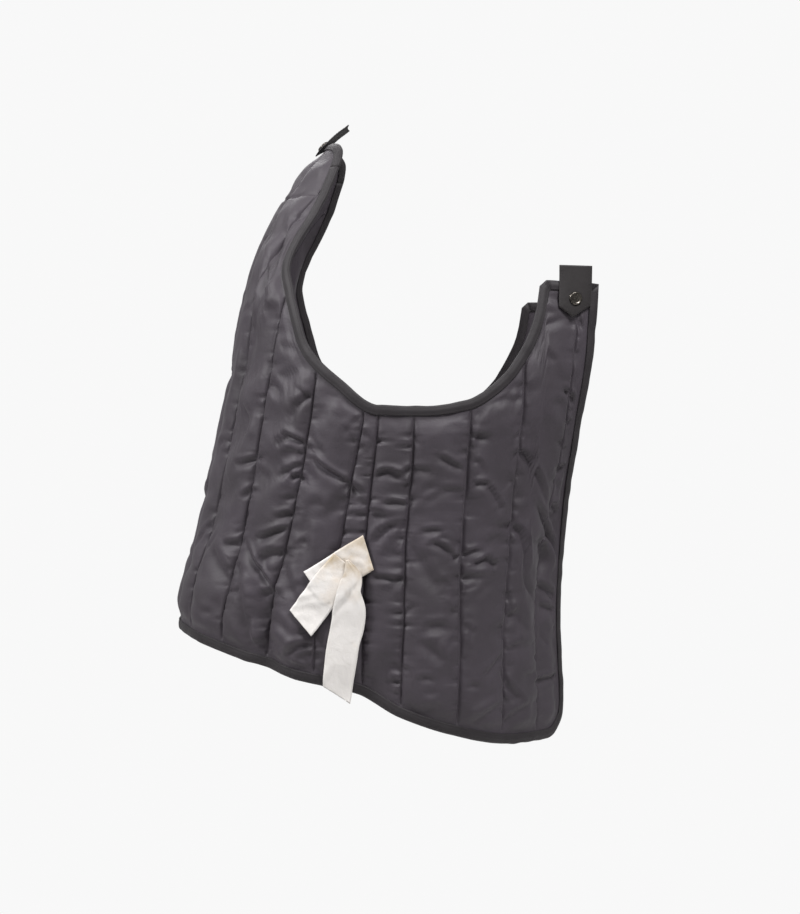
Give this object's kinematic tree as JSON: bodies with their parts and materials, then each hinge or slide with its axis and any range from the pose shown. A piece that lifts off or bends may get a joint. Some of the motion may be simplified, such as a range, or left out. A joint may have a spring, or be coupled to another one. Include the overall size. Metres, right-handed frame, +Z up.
{
  "type": "quilted down vest",
  "caption": "Open-fronted quilted down vest without shoulders, bound at its edges, with snap tabs at the neck and care labels on one side seam.",
  "frame": {"origin": "the upper end of the back neck tab, on the centre line, where the wearer's neck holds the vest", "axes": "+Z up, -Y towards the wearer's front, +X towards the wearer's left"},
  "size_m": [0.4343, 0.4671, 0.6875],
  "materials": {
    "quilt": "satin nylon taffeta, dark purplish grey",
    "binding": "plain woven nylon tape, dark olive grey",
    "tab": "twill, near black",
    "snap": "dark nickel",
    "label": "white satin ribbon"
  },
  "bodies": {
    "root": {"back_panel": "quilt", "front_right": "quilt", "front_left": "quilt", "binding_edge": "binding", "binding_neck": "binding", "binding_armhole_right": "binding", "binding_armhole_left": "binding", "binding_top_right": "binding", "binding_top_left": "binding", "tab_right": "tab", "tab_left": "tab", "tab_back": "tab", "snap_right": "snap", "snap_left": "snap", "snap_back": "snap", "label_short": "label", "label_fold": "label", "label_long": "label"}
  },
  "joints": []
}
